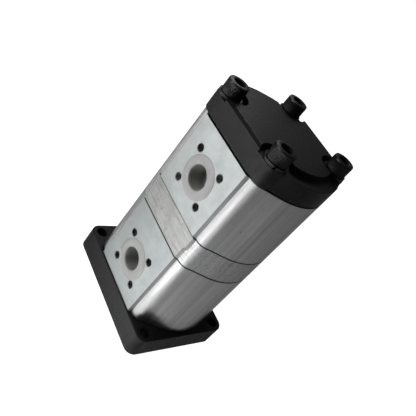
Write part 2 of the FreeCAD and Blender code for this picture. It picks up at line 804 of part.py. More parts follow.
def driveShaftFront():
    neck = "shaftEnd + splineLength"
    body = turnedBody("front_shaft", [
        ("0", "shaftEnd"),
        ("splineRadius - shaftChamfer", "shaftEnd"),
        ("splineRadius", "shaftEnd + shaftChamfer"),
        ("splineRadius", neck),
        ("journalRadius", neck + " + splineRelief"),
        ("journalRadius", "frontGearWidth + blockLength + tangLength - shaftChamfer"),
        ("journalRadius - shaftChamfer", "frontGearWidth + blockLength + tangLength"),
        ("0", "frontGearWidth + blockLength + tangLength"),
    ])
    millTang(body, "front_tang", "frontGearWidth + blockLength", "tangLength", downward=False)
    millSpline(body)
    return gearOn(body, "drive_shaft_front", "frontGearWidth", False, z="flangeThickness + blockLength")


def driveGearRear():
    body = turnedBody("rear_shaft", journalSection(
        "-blockLength - tangLength", "rearGearWidth + blockLength - journalSetBack"))
    millTang(body, "rear_tang", "-blockLength - tangLength", "tangLength", downward=False)
    return gearOn(body, "drive_gear_rear", "rearGearWidth", False, z="rearBase + blockLength")


def drivenGear(label, width, base):
    body = turnedBody(label + "_journals", journalSection(
        "journalSetBack - blockLength", f"{width} + blockLength - journalSetBack"))
    return gearOn(body, label, width, True, y="centreDistance", z=f"{base} + blockLength")


def couplingSleeve():
    body = turnedBody("sleeve", [
        ("0", "0"),
        ("sleeveRadius", "0"),
        ("sleeveRadius", "sleeveLength"),
        ("0", "sleeveLength"),
    ])
    half = "tangWidth / 2 + tangFit"
    for height, upward in (("0", True), ("sleeveLength", False)):
        slot = newSketch(body, "sleeve_slot" + ("Up" if upward else "Down"), offset=height)
        addPolygon(slot, [(f"-({half})", "-2 * sleeveRadius"), (half, "-2 * sleeveRadius"),
                          (half, "2 * sleeveRadius"), (f"-({half})", "2 * sleeveRadius")])
        cut(body, "Pocket", slot, Length="tangSlotDepth", Reversed=upward)
    return place(body, "coupling_sleeve", z="middleBase + sleeveGap")


# Bearing blocks, bushes and seals of a stage.

def threeShape(name, inner, outer, legHalf):
    """A seal shaped like a 3 about both bushes, with its middle leg towards the suction side."""
    distance, depth = amount("centreDistance"), amount("blockSealDepth")
    pieces = []
    for y in (0, distance):
        whole = Part.makeCylinder(outer, depth, Vector(0, y, 0), Vector(0, 0, 1), wholeTurn / 2)
        hollow = Part.makeCylinder(inner, depth, Vector(0, y, 0))
        ring = whole.cut(hollow)
        ring.rotate(Vector(0, y, 0), Vector(0, 0, 1), 90)
        pieces.append(ring)
    length = 2 * amount("blockSealLeg")
    leg = Part.makeBox(length, 2 * legHalf, depth, Vector(-length / 2, distance / 2 - legHalf, 0))
    shape = doc.addObject("Part::Feature", name)
    shape.Shape = pieces[0].fuse(pieces[1:] + [leg]).removeSplitter()
    return shape


def blockSeal(label, height):
    inner, outer = amount("blockSealInner"), amount("blockSealOuter")
    seal = threeShape(label, inner, outer, amount("blockSealLegHalf"))
    return place(seal, label, z=height)


def bearingBlock(label, height, sealHeight, gearSide, upward):
    """A block with its seal groove on one end and, towards the gears, a pocket each side of
    the mesh that lets trapped oil out."""
    body = newBody(label + "_blank")
    sketch = newSketch(body, label + "_outline")
    addFigureEight(sketch, "tipRadius", "0", "centreDistance")
    pad(body, sketch, "blockLength")
    bores = newSketch(body, label + "_bores")
    for y in ("0", "centreDistance"):
        addCircle(bores, "0", y, "bushOuter")
    cut(body, "Pocket", bores, Type="ThroughAll", Reversed=True)
    relief = newSketch(body, label + "_relief", offset=gearSide)
    low, high = "pitchRadius - reliefWidth / 2", "pitchRadius + reliefWidth / 2"
    for sign in signs:
        near, far = f"{sign} * reliefInset", f"{sign} * (reliefInset + reliefLength)"
        addPolygon(relief, [(near, low), (far, low), (far, high), (near, high)])
    cut(body, "Pocket", relief, Length="reliefDepth", Reversed=upward)
    inner, outer = amount("blockSealInner - sealRoom"), amount("blockSealOuter + sealRoom")
    groove = threeShape(label + "_groove", inner, outer, amount("blockSealLegHalf + sealRoom"))
    place(groove, label + "_groove", z=sealHeight)
    block = doc.addObject("Part::Cut", label)
    block.Base = body
    block.Tool = groove
    return place(block, label, z=height)


def bush(label, y, z):
    ring = turnedBody(label, [
        ("bushBore", "0"),
        ("bushOuter", "0"),
        ("bushOuter", "blockLength"),
        ("bushBore", "blockLength"),
    ])
    return place(ring, label, y=y, z=z)


def faceSeal(label, height):
    body = newBody(label)
    sketch = newSketch(body, label + "_track")
    addRaceTrack(sketch, "faceSealInner + sealRoom", "0", "centreDistance")
    addRaceTrack(sketch, "faceSealOuter - sealRoom", "0", "centreDistance")
    pad(body, sketch, "faceSealDepth")
    return place(body, label, z=height)


def shaftSeal():
    lip = "shaftSealLength - shaftSealSkin"
    ring = turnedBody("shaft_seal_ring", [
        ("bushBore + shaftSealSkin", "0"),
        ("shaftSealRadius", "0"),
        ("shaftSealRadius", "shaftSealLength"),
        ("shaftSealRadius - shaftSealSkin", "shaftSealLength"),
        ("shaftSealRadius - shaftSealSkin", "shaftSealSkin"),
        ("bushBore + 2 * shaftSealSkin", "shaftSealSkin"),
        ("bushBore + 2 * shaftSealSkin", lip),
        ("bushBore + shaftSealLip", lip),
        ("bushBore", f"{lip} - shaftSealLip"),
        ("bushBore + shaftSealLip", f"{lip} - 2 * shaftSealLip"),
    ])
    return place(ring, "shaft_seal", z="shaftSealBase")


def sealCirclip():
    ring = turnedBody("circlip", [
        ("circlipOuter - circlipWidth", "0"),
        ("circlipOuter", "0"),
        ("circlipOuter", "circlipThickness"),
        ("circlipOuter - circlipWidth", "circlipThickness"),
    ])
    gap = newSketch(ring, "circlip_gap")
    addPolygon(gap, [("-circlipGap / 2", "0"), ("circlipGap / 2", "0"),
                     ("circlipGap / 2", "-2 * circlipOuter"), ("-circlipGap / 2", "-2 * circlipOuter")])
    cut(ring, "Pocket", gap, Type="ThroughAll", Reversed=True)
    return place(ring, "seal_circlip", z="circlipBase")


# Port plugs and fasteners.

def portPlug(label, side, bore, base):
    """A moulded cup pushed into a port, with its rim on the port face."""
    body = turnedBody(label, [
        ("0", "-plugDepth"),
        (f"{bore} / 2 - sealRoom", "-plugDepth"),
        (f"{bore} / 2 - sealRoom", "0"),
        (f"{bore} / 2 + plugRimWidth", "0"),
        (f"{bore} / 2 + plugRimWidth", "plugWall"),
        (f"{bore} / 2 - sealRoom - plugWall", "plugWall"),
        (f"{bore} / 2 - sealRoom - plugWall", "plugWall - plugDepth"),
        ("0", "plugWall - plugDepth"),
    ])
    body.Placement = Placement(Vector(), Rotation(Vector(0, 0, 1), Vector(side, 0, 0)))
    return place(body, label, x=f"{side} * halfWidth", y="pitchRadius", z=f"{base} + portHeight")


def capScrew(name):
    body = turnedBody(name, [
        ("0", "-screwLength"),
        ("screwRadius - shaftChamfer", "-screwLength"),
        ("screwRadius - screwThreadFit", "shaftChamfer - screwLength"),
        ("screwRadius - screwThreadFit", "0"),
        ("screwHeadRadius", "0"),
        ("screwHeadRadius", "screwHeadHeight - screwHeadEdge"),
        ("screwHeadRadius - screwHeadEdge", "screwHeadHeight"),
        ("0", "screwHeadHeight"),
    ])
    socket = newSketch(body, name + "_socket", offset="screwHeadHeight")
    corners = [(f"screwHexAcross / sqrt(3) * {math.cos(math.pi * i / 3):.12f}",
                f"screwHexAcross / sqrt(3) * {math.sin(math.pi * i / 3):.12f}") for i in range(6)]
    addPolygon(socket, corners)
    cut(body, "Pocket", socket, Length="screwHexDepth")
    return body


def lockWasher(name):
    body = turnedBody(name, [
        ("washerBore", "0"),
        ("washerOuter", "0"),
        ("washerOuter", "washerThickness"),
        ("washerBore", "washerThickness"),
    ])
    split = newSketch(body, name + "_split")
    addPolygon(split, [("0", "-washerSplit / 2"), ("2 * washerOuter", "-washerSplit / 2"),
                       ("2 * washerOuter", "washerSplit / 2"), ("0", "washerSplit / 2")])
    cut(body, "Pocket", split, Type="ThroughAll", Reversed=True)
    return body


def group(label, bodies):
    whole = doc.addObject("Part::Compound", label)
    whole.Links = bodies
    return place(whole, label)


def screwSet(label, maker, height):
    bodies = []
    for number, (x, y) in enumerate(screwPlaces()):
        body = maker(f"{label}_{number}")
        bodies.append(place(body, body.Name + "_piece", x, f"pitchRadius + {y}", height))
    return group(label, bodies)


def dowelPins():
    bodies = []
    for joint in ("flangeThickness", "middleBase", "rearBase", "coverBase"):
        for sign in signs:
            pinBody = turnedBody(f"dowel_{len(bodies)}", [
                ("0", "-dowelDepth"),
                ("dowelDiameter / 2 - dowelFit", "-dowelDepth"),
                ("dowelDiameter / 2 - dowelFit", "dowelDepth"),
                ("0", "dowelDepth"),
            ])
            bodies.append(place(pinBody, pinBody.Name + "_piece", f"{sign} * dowelX",
                                f"pitchRadius - {sign} * dowelOffset", joint))
    return group("dowel_pins", bodies)


def stage(suffix, width, length, base):
    """The pieces of one pump stage, apart from its drive gear."""
    pieces = [
        pumpBody(f"pump_body_{suffix}", length, base),
        drivenGear(f"driven_gear_{suffix}", width, base),
        faceSeal(f"face_seal_{suffix}_lower", base),
        faceSeal(f"face_seal_{suffix}_upper", f"{base} + {length} - faceSealDepth"),
        portPlug(f"suction_plug_{suffix}", 1, "suctionBore", base),
        portPlug(f"pressure_plug_{suffix}", -1, "pressureBore", base),
    ]
    upperBlock = f"{base} + {length} - blockLength"
    for level, height, seal, gearSide in (
        ("lower", base, "0", "blockLength"),
        ("upper", upperBlock, "blockLength - blockSealDepth", "0"),
    ):
        block = f"bearing_block_{suffix}_{level}"
        pieces.append(bearingBlock(block, height, seal, gearSide, level == "upper"))
        pieces.append(blockSeal(f"block_seal_{suffix}_{level}", f"{height} + {seal}"))
        for shaft, y in (("drive", "0"), ("driven", "centreDistance")):
            pieces.append(bush(f"bush_{suffix}_{level}_{shaft}", y, height))
    return pieces


def buildPump():
    pieces = [mountingFlange(), shaftSeal(), sealCirclip()]
    pieces += stage("front", "frontGearWidth", "frontLength", "flangeThickness")
    pieces += [middlePlate(), couplingSleeve()]
    pieces += stage("rear", "rearGearWidth", "rearLength", "rearBase")
    pieces += [driveShaftFront(), driveGearRear(), endCover(), dowelPins()]
    pieces.append(screwSet("lock_washers", lockWasher, "washerSeat"))
    pieces.append(screwSet("through_screws", capScrew, "headSeat"))
    return pieces


def checkAndExport(pieces):
    doc.recompute()
    for item in doc.Objects:
        if "Invalid" in item.State or "Error" in item.State:
            raise RuntimeError(f"{item.Name} ({item.Label}) is {item.State}")
    for piece in pieces:
        if piece.Shape.isNull() or not piece.Shape.isValid():
            raise RuntimeError(f"{piece.Label} has no valid shape")
    os.makedirs("parts", exist_ok=True)
    for piece in pieces:
        piece.Shape.exportStep(f"parts/{piece.Label}.step")
        print(f"{piece.Label}: {len(piece.Shape.Solids)} solid(s), {piece.Shape.Volume:.0f} mm3")


fillSheet()
checkAndExport(buildPump())
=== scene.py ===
import math

import bmesh
import bpy
from mathutils import Matrix, Vector


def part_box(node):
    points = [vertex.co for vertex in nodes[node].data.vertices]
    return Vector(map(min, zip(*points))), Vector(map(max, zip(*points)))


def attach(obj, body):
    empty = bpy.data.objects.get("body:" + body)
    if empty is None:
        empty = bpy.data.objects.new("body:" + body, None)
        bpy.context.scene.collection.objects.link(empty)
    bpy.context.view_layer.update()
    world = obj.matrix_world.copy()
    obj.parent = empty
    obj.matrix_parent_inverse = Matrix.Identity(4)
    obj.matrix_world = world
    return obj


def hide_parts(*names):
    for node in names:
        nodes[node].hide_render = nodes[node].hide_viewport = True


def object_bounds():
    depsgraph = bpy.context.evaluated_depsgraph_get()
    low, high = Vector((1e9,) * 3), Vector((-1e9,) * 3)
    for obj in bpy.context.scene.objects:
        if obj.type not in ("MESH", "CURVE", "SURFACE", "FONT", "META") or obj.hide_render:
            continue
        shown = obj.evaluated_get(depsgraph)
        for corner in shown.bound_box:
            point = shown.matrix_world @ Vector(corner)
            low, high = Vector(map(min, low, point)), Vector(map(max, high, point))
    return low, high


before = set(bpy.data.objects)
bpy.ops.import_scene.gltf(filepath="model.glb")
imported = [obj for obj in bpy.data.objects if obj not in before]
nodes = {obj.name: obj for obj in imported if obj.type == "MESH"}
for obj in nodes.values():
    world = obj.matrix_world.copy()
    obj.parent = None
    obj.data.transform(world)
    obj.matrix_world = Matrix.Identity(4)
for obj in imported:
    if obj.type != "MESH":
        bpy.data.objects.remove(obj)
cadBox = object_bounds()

millimetre = 0.001
middleY = (cadBox[0][1] + cadBox[1][1]) / 2  # half way between the two shafts
bpy.ops.object.select_all(action="DESELECT")


# Helpers for modelling.

def openPiece(piece, mode="FACE"):
    bpy.ops.object.select_all(action="DESELECT")
    piece.select_set(True)
    bpy.context.view_layer.objects.active = piece
    bpy.ops.object.mode_set(mode="EDIT")
    bpy.ops.mesh.select_mode(type=mode)


def choose(piece, kind, test):
    bpy.ops.mesh.select_mode(type=kind)
    bpy.ops.mesh.select_all(action="DESELECT")
    mesh = bmesh.from_edit_mesh(piece.data)
    for item in {"FACE": mesh.faces, "EDGE": mesh.edges, "VERT": mesh.verts}[kind]:
        if test(item):
            item.select_set(True)
    mesh.select_flush_mode()
    bmesh.update_edit_mesh(piece.data)


def closePiece(smoothAngle):
    bpy.ops.mesh.select_all(action="SELECT")
    bpy.ops.mesh.normals_make_consistent(inside=False)
    bpy.ops.object.mode_set(mode="OBJECT")
    bpy.ops.object.transform_apply(location=True, rotation=True, scale=True)
    bpy.ops.object.shade_smooth_by_angle(angle=math.radians(smoothAngle))


def finishModifier(piece, kind, **settings):
    bpy.ops.object.select_all(action="DESELECT")
    piece.select_set(True)
    bpy.context.view_layer.objects.active = piece
    modifier = piece.modifiers.new(kind.lower(), kind)
    for name, value in settings.items():
        setattr(modifier, name, value)
    bpy.ops.object.modifier_apply(modifier=modifier.name)


def turned(name, profile, segments):
    # A ring of points is drawn at the first radius, then extruded and scaled along the profile.
    (radius, height), rest = profile[0], profile[1:]
    bpy.ops.mesh.primitive_circle_add(vertices=segments, radius=radius, location=(0, 0, height))
    piece = bpy.context.active_object
    piece.name = piece.data.name = name
    bpy.ops.object.transform_apply(location=True, rotation=True, scale=True)
    openPiece(piece, "EDGE")
    bpy.ops.mesh.select_all(action="SELECT")
    for nextRadius, nextHeight in rest:
        rise = (0, 0, nextHeight - height)
        bpy.ops.mesh.extrude_edges_move(TRANSFORM_OT_translate={"value": rise})
        ratio = nextRadius / radius
        bpy.ops.transform.resize(value=(ratio, ratio, 1))
        radius, height = nextRadius, nextHeight
    return piece


def closeEnds(piece):
    # The last ring is still selected; the first is the one open edge that is left.
    bpy.ops.mesh.edge_face_add()
    choose(piece, "EDGE", lambda edge: edge.is_boundary)
    bpy.ops.mesh.edge_face_add()


def cutWith(piece, cutter):
    finishModifier(piece, "BOOLEAN", object=cutter, operation="DIFFERENCE", solver="EXACT")
    bpy.data.objects.remove(cutter)


def inMetres(values):
    return {name: value * millimetre for name, value in values.items()}


def copyPiece(piece, name, place):
    copy = bpy.data.objects.new(name, piece.data.copy())
    bpy.context.scene.collection.objects.link(copy)
    copy.data.transform(place)
    return copy


def dress(piece, material, body, slot, *replaced):
    piece.data.materials.clear()
    piece.data.materials.append(material)
    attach(piece, body)
    if replaced:
        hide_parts(*replaced)


# Materials. Patterns read Object coordinates, and their sizes are in mm. Sand grain, die lines, feed
# marks and scratches are finer on the real pump, and are drawn as coarse as they need to show.

def linear(code):
    parts = [int(code[i:i + 2], 16) / 255 for i in (1, 3, 5)]
    return (*[p / 12.92 if p <= 0.04045 else ((p + 0.055) / 1.055) ** 2.4 for p in parts], 1)


def addNode(tree, kind, inputs=None, **settings):
    node = tree.nodes.new(kind)
    for name, value in settings.items():
        setattr(node, name, value)
    for name, value in (inputs or {}).items():
        socket = node.inputs[name]
        if isinstance(value, bpy.types.NodeSocket):
            tree.links.new(value, socket)
        else:
            socket.default_value = value
    return node


def startMaterial(name):
    material = bpy.data.materials.new(name)
    material.use_nodes = True
    tree = material.node_tree
    tree.nodes.clear()
    place = addNode(tree, "ShaderNodeTexCoord")
    return material, tree, place.outputs["Object"]


def endMaterial(tree, **inputs):
    shader = addNode(tree, "ShaderNodeBsdfPrincipled", inputs)
    addNode(tree, "ShaderNodeOutputMaterial", {"Surface": shader.outputs[0]})


def perMillimetre(size):
    return 1 / (size * millimetre)


# Grey iron castings under black stoving enamel: satin, with the sand mould's fine unevenness.

enamel = {"dark": "#090909", "light": "#101010", "swell": 9, "sandGrain": 1.3,
          "grainContrast": (0.35, 0.65), "grainHeight": 0.12, "grainStrength": 0.45,
          "gloss": (0.38, 0.6), "specular": 0.26}


def makeBlackCasting(name, values):
    material, tree, place = startMaterial(name)
    swell = addNode(tree, "ShaderNodeTexNoise", {
        "Vector": place, "Scale": perMillimetre(values["swell"]), "Detail": 3.0})
    grain = addNode(tree, "ShaderNodeTexNoise", {
        "Vector": place, "Scale": perMillimetre(values["sandGrain"]), "Detail": 4.0, "Roughness": 0.6})
    colour = addNode(tree, "ShaderNodeMix", {
        0: swell.outputs["Fac"], 6: linear(values["dark"]), 7: linear(values["light"])}, data_type="RGBA")
    gloss = addNode(tree, "ShaderNodeMapRange", {
        "Value": grain.outputs["Fac"], "From Min": values["grainContrast"][0],
        "From Max": values["grainContrast"][1], "To Min": values["gloss"][0], "To Max": values["gloss"][1]})
    bump = addNode(tree, "ShaderNodeBump", {
        "Height": grain.outputs["Fac"], "Strength": values["grainStrength"],
        "Distance": values["grainHeight"] * millimetre})
    endMaterial(tree, **{
        "Base Color": colour.outputs[2], "Roughness": gloss.outputs[0], "Normal": bump.outputs[0],
        "Specular IOR Level": values["specular"]})
    return material


coverCasting = makeBlackCasting("black enamel on cover", enamel)
# The flange gets a darker copy of the cover's enamel: painted shade on the flange below the pump bodies.
flangeCasting = makeBlackCasting("black enamel on flange", {
    **enamel, "dark": "#060606", "light": "#0b0b0b", "specular": 0.22})


# Extruded aluminium body: the sides keep the die's fine lines along Z and mirror softly, the port faces
# are milled to a pale satin with a painted sheen, and oil darkens the joints at its two ends. The lugs'
# flanks get the same dark colour as painted shade.

bodyFinish = {
    "drawnDark": "#a7a7a8", "drawnLight": "#c8c8c8", "dieLine": 0.9, "dieBand": 6, "dieStretch": 0.012,
    "dieContrast": (0.76, 1.24), "drawnGloss": 0.4, "drawnSpread": 0.02,
    "milledDark": "#8f9493", "milledLight": "#a5aaa9", "faceDepth": 0.1, "endFacing": 0.9,
    "cloud": 14, "cloudContrast": (0.35, 0.65), "sheen": 0.2, "sheenStart": 22, "sheenEnd": 52,
    "feedMark": 0.45, "feedStretch": 0.08, "feedTurn": 0.5, "milledGloss": 0.5, "milledSpread": 0.06,
    "lineHeight": 0.01, "stain": 0.1, "stainColour": "#5c5c5c",
    "smudge": 3.4, "smudgeContrast": (0.53, 0.72),
    "scratch": 0.9, "scratchStretch": 0.06, "scratchTurn": 0.06, "scratchContrast": (0.5, 0.7),
    "oil": "#262626", "oilFilm": 0.42, "oilWidth": 0.7, "oilWiped": 0.9, "cleanLow": 0.0, "cleanHigh": 0.0,
    "flankShade": 0.45, "lugReach": 41.1, "cleanLugX": 38, "cleanLugY": -10.5,
    "pit": None, "pitRadii": (0.35, 0.8), "pitDark": 0.75,
}


def makeHousing(name, node, values):
    material, tree, place = startMaterial(name)
    low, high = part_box(node)
    spot = addNode(tree, "ShaderNodeSeparateXYZ", {"Vector": place})
    reach = addNode(tree, "ShaderNodeMath", {0: spot.outputs["X"]}, operation="ABSOLUTE")
    coordinates = addNode(tree, "ShaderNodeTexCoord")
    facing = addNode(tree, "ShaderNodeSeparateXYZ", {"Vector": coordinates.outputs["Normal"]})
    padSide = addNode(tree, "ShaderNodeMath", {
        0: reach.outputs[0], 1: high.x - values["faceDepth"] * millimetre}, operation="GREATER_THAN")
    endSide = addNode(tree, "ShaderNodeMath", {0: facing.outputs["Z"]}, operation="ABSOLUTE")
    endFace = addNode(tree, "ShaderNodeMath", {
        0: endSide.outputs[0], 1: values["endFacing"]}, operation="GREATER_THAN")
    milled = addNode(tree, "ShaderNodeMath", {
        0: padSide.outputs[0], 1: endFace.outputs[0]}, operation="MAXIMUM")

    stretched = addNode(tree, "ShaderNodeMapping", {"Vector": place, "Scale": (1, 1, values["dieStretch"])})
    lines = addNode(tree, "ShaderNodeTexNoise", {
        "Vector": stretched.outputs[0], "Scale": perMillimetre(values["dieLine"]), "Detail": 4.0,
        "Roughness": 0.7})
    bands = addNode(tree, "ShaderNodeTexNoise", {
        "Vector": stretched.outputs[0], "Scale": perMillimetre(values["dieBand"]), "Detail": 2.0})
    streak = addNode(tree, "ShaderNodeMath", {
        0: lines.outputs["Fac"], 1: bands.outputs["Fac"]}, operation="ADD")
    drawnTone = addNode(tree, "ShaderNodeMapRange", {
        "Value": streak.outputs[0], "From Min": values["dieContrast"][0],
        "From Max": values["dieContrast"][1]})
    drawn = addNode(tree, "ShaderNodeMix", {
        0: drawnTone.outputs[0], 6: linear(values["drawnDark"]),
        7: linear(values["drawnLight"])}, data_type="RGBA")

    cloud = addNode(tree, "ShaderNodeTexNoise", {
        "Vector": place, "Scale": perMillimetre(values["cloud"]), "Detail": 4.0, "Roughness": 0.6})
    cloudTone = addNode(tree, "ShaderNodeMapRange", {
        "Value": cloud.outputs["Fac"], "From Min": values["cloudContrast"][0],
        "From Max": values["cloudContrast"][1]})
    # Painted sheen: the port faces are painted lighter towards +Y, mixed with the random cloud tone by the
    # share given as sheen.
    across = addNode(tree, "ShaderNodeMapRange", {
        "Value": spot.outputs["Y"], "From Min": low.y + values["sheenStart"] * millimetre,
        "From Max": high.y - values["sheenEnd"] * millimetre})
    sheen = addNode(tree, "ShaderNodeMix", {
        0: values["sheen"], 2: cloudTone.outputs[0], 3: across.outputs[0]}, data_type="FLOAT")
    face = addNode(tree, "ShaderNodeMix", {
        0: sheen.outputs[0], 6: linear(values["milledDark"]),
        7: linear(values["milledLight"])}, data_type="RGBA")
    tilted = addNode(tree, "ShaderNodeMapping", {
        "Vector": place, "Scale": (1, 1, values["feedStretch"]), "Rotation": (values["feedTurn"], 0, 0)})
    feed = addNode(tree, "ShaderNodeTexNoise", {
        "Vector": tilted.outputs[0], "Scale": perMillimetre(values["feedMark"]), "Detail": 3.0})

    bare = addNode(tree, "ShaderNodeMix", {
        0: milled.outputs[0], 6: drawn.outputs[2], 7: face.outputs[2]}, data_type="RGBA")
    smudge = addNode(tree, "ShaderNodeTexNoise", {
        "Vector": place, "Scale": perMillimetre(values["smudge"]), "Detail": 5.0, "Roughness": 0.65})
    smudgeTone = addNode(tree, "ShaderNodeMapRange", {
        "Value": smudge.outputs["Fac"], "From Min": values["smudgeContrast"][0],
        "From Max": values["smudgeContrast"][1]})
    drawnOut = addNode(tree, "ShaderNodeMapping", {
        "Vector": place, "Scale": (1, values["scratchStretch"], 1),
        "Rotation": (values["scratchTurn"], 0, 0)})
    scratch = addNode(tree, "ShaderNodeTexNoise", {
        "Vector": drawnOut.outputs[0], "Scale": perMillimetre(values["scratch"]), "Detail": 3.0})
    scratchTone = addNode(tree, "ShaderNodeMapRange", {
        "Value": scratch.outputs["Fac"], "From Min": values["scratchContrast"][0],
        "From Max": values["scratchContrast"][1]})
    marks = addNode(tree, "ShaderNodeMath", {
        0: smudgeTone.outputs[0], 1: scratchTone.outputs[0]}, operation="MAXIMUM")
    stain = addNode(tree, "ShaderNodeMath", {0: marks.outputs[0], 1: values["stain"]}, operation="MULTIPLY")
    stained = addNode(tree, "ShaderNodeMix", {
        0: stain.outputs[0], 6: bare.outputs[2], 7: linear(values["stainColour"])}, data_type="RGBA")

    outside = addNode(tree, "ShaderNodeMath", {
        0: reach.outputs[0], 1: values["lugReach"] * millimetre}, operation="GREATER_THAN")
    farSide = addNode(tree, "ShaderNodeMath", {
        0: spot.outputs["Y"], 1: values["cleanLugY"] * millimetre}, operation="LESS_THAN")
    lugSide = addNode(tree, "ShaderNodeMath", {
        0: reach.outputs[0], 1: values["cleanLugX"] * millimetre}, operation="GREATER_THAN")
    farLug = addNode(tree, "ShaderNodeMath", {
        0: farSide.outputs[0], 1: lugSide.outputs[0]}, operation="MULTIPLY")
    # Painted shade: the pads' flanks beside the port faces are darkened with the joints' dark colour.
    flank = addNode(tree, "ShaderNodeMath", {
        0: outside.outputs[0], 1: milled.outputs[0]}, operation="SUBTRACT", use_clamp=True)
    paintedFlankShade = addNode(tree, "ShaderNodeMath", {
        0: flank.outputs[0], 1: values["flankShade"]}, operation="MULTIPLY")
    onFlank = addNode(tree, "ShaderNodeMix", {
        0: paintedFlankShade.outputs[0], 6: stained.outputs[2], 7: linear(values["oil"])}, data_type="RGBA")

    def jointOil(distance, faint):
        # Oil stands in the joint. It is wiped off the far lug and partly off the port faces.
        line = addNode(tree, "ShaderNodeMapRange", {
            "Value": distance, "From Min": values["oilFilm"] * millimetre,
            "From Max": values["oilWidth"] * millimetre, "To Min": 1.0, "To Max": 0.0})
        wiped = addNode(tree, "ShaderNodeMath", {0: padSide.outputs[0], 1: faint}, operation="MULTIPLY")
        wipedMost = addNode(tree, "ShaderNodeMath", {
            0: wiped.outputs[0], 1: farLug.outputs[0]}, operation="MAXIMUM")
        left = addNode(tree, "ShaderNodeMath", {
            0: wipedMost.outputs[0], 1: -values["oilWiped"], 2: 1.0}, operation="MULTIPLY_ADD")
        return addNode(tree, "ShaderNodeMath", {
            0: line.outputs[0], 1: left.outputs[0]}, operation="MULTIPLY").outputs[0]

    toLow = addNode(tree, "ShaderNodeMath", {0: spot.outputs["Z"], 1: low.z}, operation="SUBTRACT")
    toHigh = addNode(tree, "ShaderNodeMath", {0: high.z, 1: spot.outputs["Z"]}, operation="SUBTRACT")
    lowOil = jointOil(toLow.outputs[0], values["cleanLow"])
    highOil = jointOil(toHigh.outputs[0], values["cleanHigh"])
    oil = addNode(tree, "ShaderNodeMath", {0: lowOil, 1: highOil}, operation="MAXIMUM")
    # A small pit is drawn as a dark spot: painted shade in a hollow that is not modelled.
    if values["pit"]:
        pitPlace = [number * millimetre for number in values["pit"]]
        toPit = addNode(tree, "ShaderNodeVectorMath", {0: place, 1: pitPlace}, operation="DISTANCE")
        pit = addNode(tree, "ShaderNodeMapRange", {
            "Value": toPit.outputs["Value"], "From Min": values["pitRadii"][0] * millimetre,
            "From Max": values["pitRadii"][1] * millimetre, "To Min": values["pitDark"], "To Max": 0.0})
        oil = addNode(tree, "ShaderNodeMath", {0: oil.outputs[0], 1: pit.outputs[0]}, operation="MAXIMUM")
    colour = addNode(tree, "ShaderNodeMix", {
        0: oil.outputs[0], 6: onFlank.outputs[2], 7: linear(values["oil"])}, data_type="RGBA")
    drawnGloss = addNode(tree, "ShaderNodeMapRange", {
        "Value": lines.outputs["Fac"], "To Min": values["drawnGloss"] - values["drawnSpread"],
        "To Max": values["drawnGloss"] + values["drawnSpread"]})
    milledGloss = addNode(tree, "ShaderNodeMapRange", {
        "Value": feed.outputs["Fac"], "To Min": values["milledGloss"] - values["milledSpread"],
        "To Max": values["milledGloss"] + values["milledSpread"]})
    gloss = addNode(tree, "ShaderNodeMix", {
        0: milled.outputs[0], 2: drawnGloss.outputs[0], 3: milledGloss.outputs[0]}, data_type="FLOAT")
    height = addNode(tree, "ShaderNodeMix", {
        0: milled.outputs[0], 2: lines.outputs["Fac"], 3: feed.outputs["Fac"]}, data_type="FLOAT")
    bump = addNode(tree, "ShaderNodeBump", {
        "Height": height.outputs[0], "Strength": 1.0, "Distance": values["lineHeight"] * millimetre})
    endMaterial(tree, **{
        "Base Color": colour.outputs[2], "Roughness": gloss.outputs[0], "Normal": bump.outputs[0],
        "Metallic": 1.0})
    return material


frontHousing = makeHousing("front extruded aluminium", "pump_body_front", {
    **bodyFinish, "milledDark": "#9ca1a0", "milledLight": "#a7acab", "drawnGloss": 0.29, "flankShade": 0.72,
    "oilWidth": 0.95})
rearHousing = makeHousing("rear extruded aluminium", "pump_body_rear", {
    **bodyFinish, "milledDark": "#a7acab", "milledLight": "#b9bebd", "drawnGloss": 0.46, "cleanLow": 0.75,
    "pit": (27.1, 59.8, 135.8)})
plateFinish = makeHousing("middle plate aluminium", "middle_plate", {
    **bodyFinish, "milledDark": "#9d9d9c", "milledLight": "#aeaeac", "drawnGloss": 0.46, "stain": 0.48,
    "cleanHigh": 0.75})


# One recipe for the smaller parts: two close tones, a fine grain, and gloss that varies a little.

grainValues = {"strength": 0.1, "height": 0.02, "glossSpread": 0.06}


def makePlain(name, values):
    material, tree, place = startMaterial(name)
    noise = addNode(tree, "ShaderNodeTexNoise", {
        "Vector": place, "Scale": perMillimetre(values["grain"]), "Detail": 3.0})
    colour = addNode(tree, "ShaderNodeMix", {
        0: noise.outputs["Fac"], 6: linear(values["dark"]), 7: linear(values["light"])}, data_type="RGBA")
    gloss = addNode(tree, "ShaderNodeMapRange", {
        "Value": noise.outputs["Fac"], "To Min": values["gloss"] - grainValues["glossSpread"],
        "To Max": values["gloss"] + grainValues["glossSpread"]})
    bump = addNode(tree, "ShaderNodeBump", {
        "Height": noise.outputs["Fac"], "Strength": grainValues["strength"],
        "Distance": grainValues["height"] * millimetre})
    endMaterial(tree, **{
        "Base Color": colour.outputs[2], "Roughness": gloss.outputs[0], "Normal": bump.outputs[0],
        "Metallic": values["metallic"]})
    return material


# Black oxide on steel: a thin converted skin, near black, with some of the steel's own shine.
blackOxide = makePlain("black oxide on steel", {
    "dark": "#161617", "light": "#232324", "grain": 0.4, "gloss": 0.42, "metallic": 0.7})
# Phosphated spring steel: dark grey, a little paler than the oxide.
springSteel = makePlain("phosphated spring steel", {
    "dark": "#2a2a2b", "light": "#3a3a3b", "grain": 0.4, "gloss": 0.4, "metallic": 0.8})
# Case-hardened steel, ground: mid grey and quite glossy.
gearSteel = makePlain("ground case-hardened steel", {
    "dark": "#8d8f91", "light": "#a2a4a6", "grain": 0.3, "gloss": 0.3, "metallic": 1.0})
